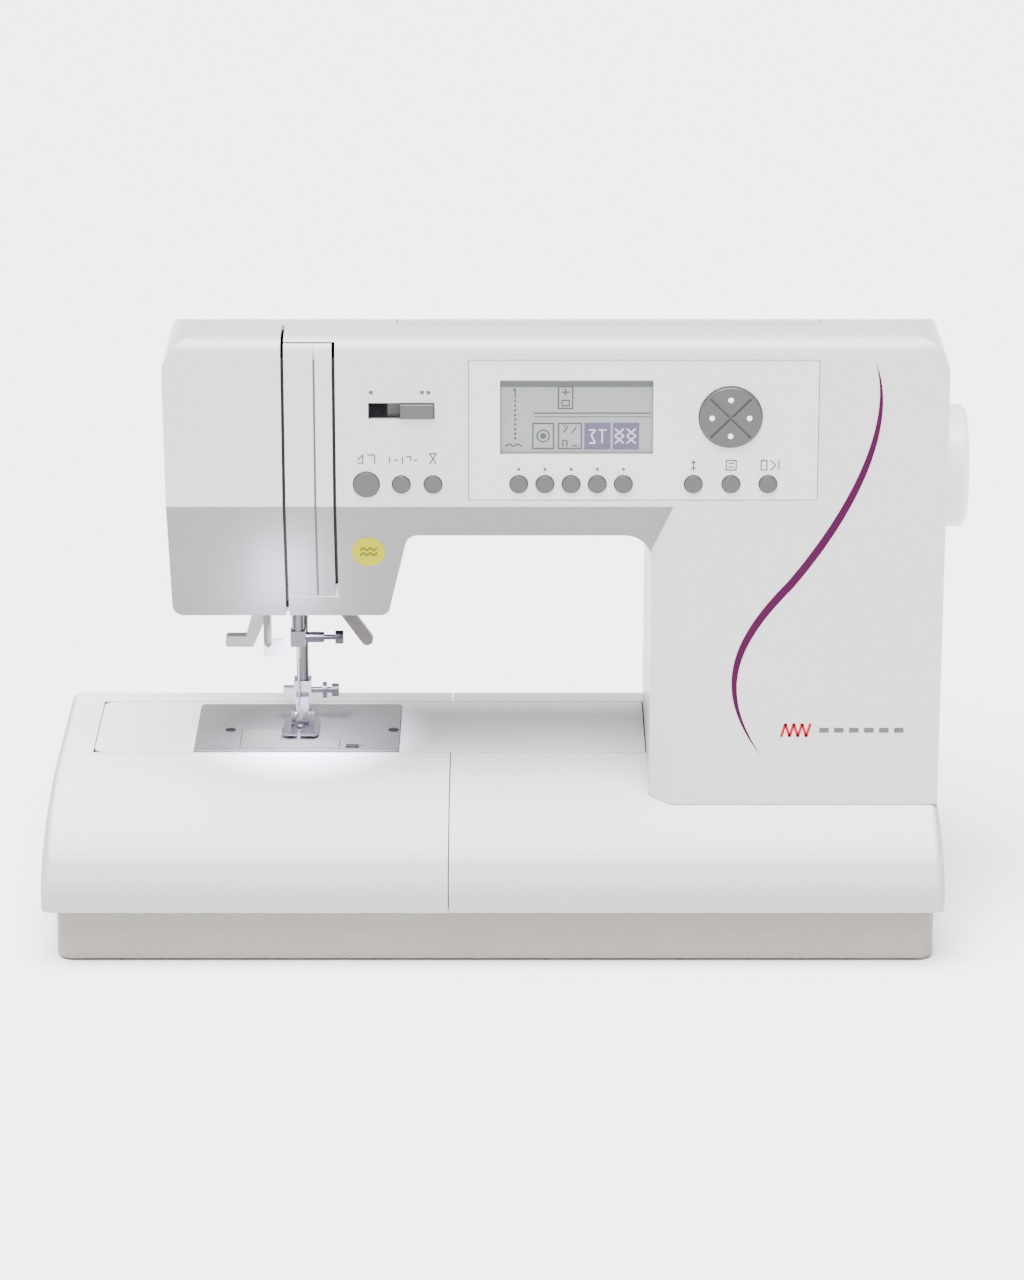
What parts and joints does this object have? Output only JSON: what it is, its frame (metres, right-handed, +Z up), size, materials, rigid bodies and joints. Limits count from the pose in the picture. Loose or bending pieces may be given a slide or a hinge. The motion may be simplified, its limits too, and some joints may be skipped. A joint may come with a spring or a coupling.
{
  "type": "sewing machine",
  "caption": "Computerised domestic free-arm sewing machine with slide-off extension tray, display panel, handwheel, needle and presser-foot mechanism.",
  "frame": {"origin": "centre of the overall footprint on the table plane", "axes": "+X to the handwheel side, -Y to the user, +Z up"},
  "size_m": [0.4464, 0.196, 0.299],
  "materials": {
    "base_plinth": "fine grain",
    "bed_cover": "satin moulded",
    "bobbin": "clear plastic",
    "bobbin_case": "satin",
    "bobbin_cover": "clear smoked plastic",
    "clamp_screw": "plated",
    "connecting_rod": "cast",
    "control_panel": "satin overlay",
    "cover_latch": "satin",
    "crank_disc": "ground",
    "direction_pad": "satin",
    "display_board": "grey-green display glass and board",
    "drive_motor": "satin",
    "drive_pulleys": "moulded",
    "extension_tray": "satin moulded",
    "face_cover": "satin moulded",
    "feed_dog": "polished",
    "foot_holder": "polished",
    "foot_screw": "blackened",
    "free_arm_cover": "satin moulded",
    "front_cover": "satin moulded",
    "function_key_1": "satin",
    "function_key_2": "satin",
    "function_key_3": "satin",
    "handwheel": "satin moulded",
    "lamp_lens": "frosted",
    "lcd_window": "clear",
    "lower_pulley": "moulded",
    "lower_shaft": "ground",
    "machine_frame": "as cast",
    "main_shaft": "ground",
    "motor_belt": "matte",
    "motor_pulley": "turned",
    "needle": "polished",
    "needle_bar": "ground",
    "needle_plate": "brushed",
    "needle_position_key": "satin",
    "needle_threader": "satin",
    "plate_screws": "plated",
    "power_inlet": "satin",
    "power_switch": "satin",
    "presser_bar": "ground",
    "presser_foot": "polished",
    "presser_lifter": "satin",
    "rear_cover": "satin moulded",
    "reverse_key": "satin",
    "rotary_hook": "ground",
    "rubber_feet": "matte",
    "soft_key_1": "satin",
    "soft_key_2": "satin",
    "soft_key_3": "satin",
    "soft_key_4": "satin",
    "soft_key_5": "satin",
    "speed_slider": "satin",
    "spool_pin": "satin",
    "start_stop_key": "satin",
    "take_up_lever": "polished",
    "thread_channel_cover": "satin moulded",
    "timing_belt": "matte",
    "top_lid": "satin moulded"
  },
  "bodies": {
    "body": {"base_plinth": "base_plinth", "rubber_feet": "rubber_feet", "bed_cover": "bed_cover", "free_arm_cover": "free_arm_cover", "front_cover": "front_cover", "rear_cover": "rear_cover", "face_cover": "face_cover", "thread_channel_cover": "thread_channel_cover", "control_panel": "control_panel", "lcd_window": "lcd_window", "display_board": "display_board", "machine_frame": "machine_frame", "needle_plate": "needle_plate", "plate_screws": "plate_screws", "bobbin_case": "bobbin_case", "drive_motor": "drive_motor", "timing_belt": "timing_belt", "motor_belt": "motor_belt", "power_inlet": "power_inlet", "lamp_lens": "lamp_lens", "spool_pin": "spool_pin"},
    "tray": {"extension_tray": "extension_tray"},
    "lid": {"top_lid": "top_lid"},
    "upper_drive": {"main_shaft": "main_shaft", "crank_disc": "crank_disc", "drive_pulleys": "drive_pulleys", "handwheel": "handwheel"},
    "rod": {"connecting_rod": "connecting_rod"},
    "lower_drive": {"lower_shaft": "lower_shaft", "lower_pulley": "lower_pulley"},
    "hook": {"rotary_hook": "rotary_hook"},
    "bobbin_spool": {"bobbin": "bobbin"},
    "plate_cover": {"bobbin_cover": "bobbin_cover"},
    "latch": {"cover_latch": "cover_latch"},
    "motor_rotor": {"motor_pulley": "motor_pulley"},
    "feed": {"feed_dog": "feed_dog"},
    "needle_group": {"needle_bar": "needle_bar", "needle": "needle", "clamp_screw": "clamp_screw"},
    "take_up": {"take_up_lever": "take_up_lever"},
    "presser": {"presser_bar": "presser_bar", "foot_holder": "foot_holder", "foot_screw": "foot_screw"},
    "foot": {"presser_foot": "presser_foot"},
    "lifter": {"presser_lifter": "presser_lifter"},
    "threader": {"needle_threader": "needle_threader"},
    "switch": {"power_switch": "power_switch"},
    "slider": {"speed_slider": "speed_slider"},
    "pad": {"direction_pad": "direction_pad"},
    "soft_key_1_body": {"soft_key_1": "soft_key_1"},
    "soft_key_2_body": {"soft_key_2": "soft_key_2"},
    "soft_key_3_body": {"soft_key_3": "soft_key_3"},
    "soft_key_4_body": {"soft_key_4": "soft_key_4"},
    "soft_key_5_body": {"soft_key_5": "soft_key_5"},
    "function_key_1_body": {"function_key_1": "function_key_1"},
    "function_key_2_body": {"function_key_2": "function_key_2"},
    "function_key_3_body": {"function_key_3": "function_key_3"},
    "start_stop_key_body": {"start_stop_key": "start_stop_key"},
    "reverse_key_body": {"reverse_key": "reverse_key"},
    "needle_position_key_body": {"needle_position_key": "needle_position_key"}
  },
  "joints": [
    {"name": "extension_slide", "type": "slide", "parent": "body", "child": "tray", "axis": [-1, 0, 0], "range_m": [0, 0.19]},
    {"name": "lid_hinge", "type": "hinge", "parent": "body", "child": "lid", "pos_m": [0.0475, 0.0556, 0.27585], "axis": [-1, 0, 0], "range_deg": [0, 95]},
    {"name": "main_shaft_spin", "type": "hinge", "parent": "body", "child": "upper_drive", "pos_m": [0.064, 0.033, 0.212], "axis": [1, 0, 0], "continuous": true},
    {"name": "rod_pivot", "type": "hinge", "parent": "upper_drive", "child": "rod", "pos_m": [-0.0963, 0.033, 0.228], "axis": [1, 0, 0], "continuous": true},
    {"name": "lower_shaft_spin", "type": "hinge", "parent": "body", "child": "lower_drive", "pos_m": [0.01, 0.0434, 0.047], "axis": [1, 0, 0], "continuous": true},
    {"name": "hook_spin", "type": "hinge", "parent": "body", "child": "hook", "pos_m": [-0.1223, 0.027, 0.047], "axis": [0, 0, 1], "continuous": true},
    {"name": "bobbin_spin", "type": "hinge", "parent": "body", "child": "bobbin_spool", "pos_m": [-0.1223, 0.027, 0.06], "axis": [0, 0, 1], "continuous": true},
    {"name": "motor_spin", "type": "hinge", "parent": "body", "child": "motor_rotor", "pos_m": [0.15, -0.017, 0.105], "axis": [1, 0, 0], "continuous": true},
    {"name": "bobbin_cover_hinge", "type": "hinge", "parent": "body", "child": "plate_cover", "pos_m": [-0.133, 0.0236, 0.073], "axis": [0, -1, 0], "range_deg": [0, 25]},
    {"name": "cover_latch_slide", "type": "slide", "parent": "body", "child": "latch", "axis": [1, 0, 0], "range_m": [0, 0.0025]},
    {"name": "feed_dog_drop", "type": "slide", "parent": "body", "child": "feed", "axis": [0, 0, -1], "range_m": [0, 0.0022]},
    {"name": "needle_bar_slide", "type": "slide", "parent": "body", "child": "needle_group", "axis": [0, 0, -1], "range_m": [0, 0.032]},
    {"name": "take_up_pivot", "type": "hinge", "parent": "body", "child": "take_up", "pos_m": [-0.1063, 0.01, 0.238], "axis": [1, 0, 0], "range_deg": [0, 50]},
    {"name": "presser_bar_slide", "type": "slide", "parent": "body", "child": "presser", "axis": [0, 0, 1], "range_m": [0, 0.006]},
    {"name": "foot_pivot", "type": "hinge", "parent": "presser", "child": "foot", "pos_m": [-0.103, 0.04, 0.08], "axis": [-1, 0, 0], "range_deg": [0, 8]},
    {"name": "presser_lifter_pivot", "type": "hinge", "parent": "body", "child": "lifter", "pos_m": [-0.088, 0.057, 0.138], "axis": [0, -1, 0], "range_deg": [0, 70]},
    {"name": "threader_slide", "type": "slide", "parent": "body", "child": "threader", "axis": [0, 0, -1], "range_m": [0, 0.026], "stiffness_N_per_m": 60},
    {"name": "power_switch_rock", "type": "hinge", "parent": "body", "child": "switch", "pos_m": [0.2035, -0.009, 0.101], "axis": [0, 1, 0], "range_deg": [0, 9]},
    {"name": "speed_slider_slide", "type": "slide", "parent": "body", "child": "slider", "axis": [-1, 0, 0], "range_m": [0, 0.0145]},
    {"name": "direction_pad_press", "type": "slide", "parent": "body", "child": "pad", "axis": [0, 1, 0], "range_m": [0, 0.0007], "stiffness_N_per_m": 2000},
    {"name": "soft_key_1_press", "type": "slide", "parent": "body", "child": "soft_key_1_body", "axis": [0, 1, 0], "range_m": [0, 0.0008], "stiffness_N_per_m": 1500},
    {"name": "soft_key_2_press", "type": "slide", "parent": "body", "child": "soft_key_2_body", "axis": [0, 1, 0], "range_m": [0, 0.0008], "stiffness_N_per_m": 1500},
    {"name": "soft_key_3_press", "type": "slide", "parent": "body", "child": "soft_key_3_body", "axis": [0, 1, 0], "range_m": [0, 0.0008], "stiffness_N_per_m": 1500},
    {"name": "soft_key_4_press", "type": "slide", "parent": "body", "child": "soft_key_4_body", "axis": [0, 1, 0], "range_m": [0, 0.0008], "stiffness_N_per_m": 1500},
    {"name": "soft_key_5_press", "type": "slide", "parent": "body", "child": "soft_key_5_body", "axis": [0, 1, 0], "range_m": [0, 0.0008], "stiffness_N_per_m": 1500},
    {"name": "function_key_1_press", "type": "slide", "parent": "body", "child": "function_key_1_body", "axis": [0, 1, 0], "range_m": [0, 0.0008], "stiffness_N_per_m": 1500},
    {"name": "function_key_2_press", "type": "slide", "parent": "body", "child": "function_key_2_body", "axis": [0, 1, 0], "range_m": [0, 0.0008], "stiffness_N_per_m": 1500},
    {"name": "function_key_3_press", "type": "slide", "parent": "body", "child": "function_key_3_body", "axis": [0, 1, 0], "range_m": [0, 0.0008], "stiffness_N_per_m": 1500},
    {"name": "start_stop_key_press", "type": "slide", "parent": "body", "child": "start_stop_key_body", "axis": [0, 1, 0], "range_m": [0, 0.0008], "stiffness_N_per_m": 1500},
    {"name": "reverse_key_press", "type": "slide", "parent": "body", "child": "reverse_key_body", "axis": [0, 1, 0], "range_m": [0, 0.0008], "stiffness_N_per_m": 1500},
    {"name": "needle_position_key_press", "type": "slide", "parent": "body", "child": "needle_position_key_body", "axis": [0, 1, 0], "range_m": [0, 0.0008], "stiffness_N_per_m": 1500}
  ],
  "couplings": [
    {"joint": "rod_pivot", "follows": "main_shaft_spin", "ratio": -1},
    {"joint": "lower_shaft_spin", "follows": "main_shaft_spin", "ratio": 1},
    {"joint": "hook_spin", "follows": "main_shaft_spin", "ratio": 2},
    {"joint": "motor_spin", "follows": "main_shaft_spin", "ratio": 3.5},
    {"joint": "take_up_pivot", "follows": "needle_bar_slide", "rad_per_m": 27.271},
    {"joint": "presser_lifter_pivot", "follows": "presser_bar_slide", "rad_per_m": 203.62}
  ]
}
